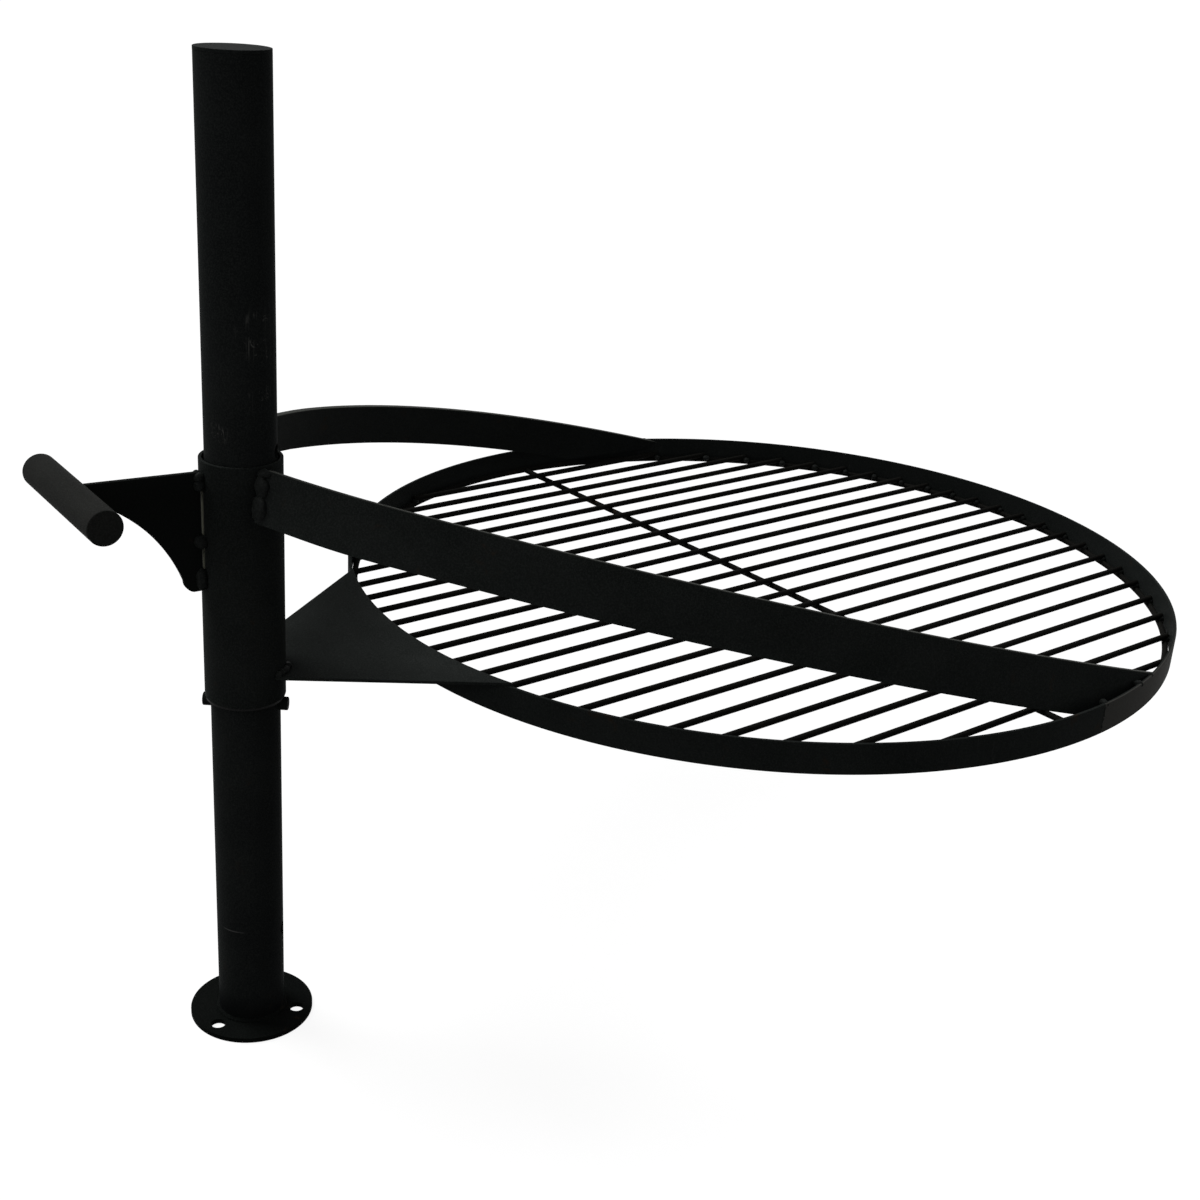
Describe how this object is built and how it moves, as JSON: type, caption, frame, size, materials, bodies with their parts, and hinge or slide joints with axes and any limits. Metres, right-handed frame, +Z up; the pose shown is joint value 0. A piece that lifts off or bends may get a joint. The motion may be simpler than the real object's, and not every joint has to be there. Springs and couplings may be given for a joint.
{
  "type": "swing grill",
  "caption": "Swing grill: round rod grate in a flat-bar ring, carried by a sleeve that turns and slides on a bolted post, with bowed arms, a web plate and a push handle.",
  "frame": {"origin": "on the post axis, at the underside of the base flange", "axes": "+Z up along the post, +X from the post to the centre of the grate, +Y to the left seen from the post"},
  "size_m": [1.1648, 0.856, 0.874],
  "materials": {
    "post_paint": "satin black, fine sandy texture",
    "frame_paint": "satin black, fine sandy texture",
    "handle_paint": "satin black",
    "grate_paint": "satin black",
    "pin_paint": "satin black",
    "washer_steel": "dark steel"
  },
  "bodies": {
    "base": {"base_flange": "post_paint", "foot_weld": "post_paint", "post": "post_paint", "post_cap": "post_paint"},
    "pin": {"support_pin": "pin_paint"},
    "washer": {"thrust_washer": "washer_steel"},
    "swing_frame": {"sleeve": "frame_paint", "ring": "frame_paint", "web_plate": "frame_paint", "left_arm": "frame_paint", "right_arm": "frame_paint", "grate_hoop": "grate_paint", "grate_cross_rod": "grate_paint", "handle_bar": "handle_paint", "handle_gusset": "handle_paint", "gusset_weld_1": "handle_paint", "gusset_weld_2": "handle_paint", "gusset_weld_3": "handle_paint", "grate_rod_01": "grate_paint", "grate_rod_02": "grate_paint", "grate_rod_03": "grate_paint", "grate_rod_04": "grate_paint", "grate_rod_05": "grate_paint", "grate_rod_06": "grate_paint", "grate_rod_07": "grate_paint", "grate_rod_08": "grate_paint", "grate_rod_09": "grate_paint", "grate_rod_10": "grate_paint", "grate_rod_11": "grate_paint", "grate_rod_12": "grate_paint", "grate_rod_13": "grate_paint", "grate_rod_14": "grate_paint", "grate_rod_15": "grate_paint", "grate_rod_16": "grate_paint", "grate_rod_17": "grate_paint", "grate_rod_18": "grate_paint", "grate_rod_19": "grate_paint", "grate_rod_20": "grate_paint", "grate_rod_21": "grate_paint", "grate_rod_22": "grate_paint", "grate_rod_23": "grate_paint"}
  },
  "joints": [
    {"name": "pin_draw", "type": "slide", "parent": "base", "child": "pin", "axis": [0.809, -0.5878, 0], "range_m": [0, 0.075]},
    {"name": "height", "type": "slide", "parent": "base", "child": "washer", "axis": [0, 0, 1], "range_m": [0, 0.232]},
    {"name": "swing", "type": "hinge", "parent": "washer", "child": "swing_frame", "pos_m": [0, 0, 0.3316], "axis": [0, 0, 1], "continuous": true}
  ]
}
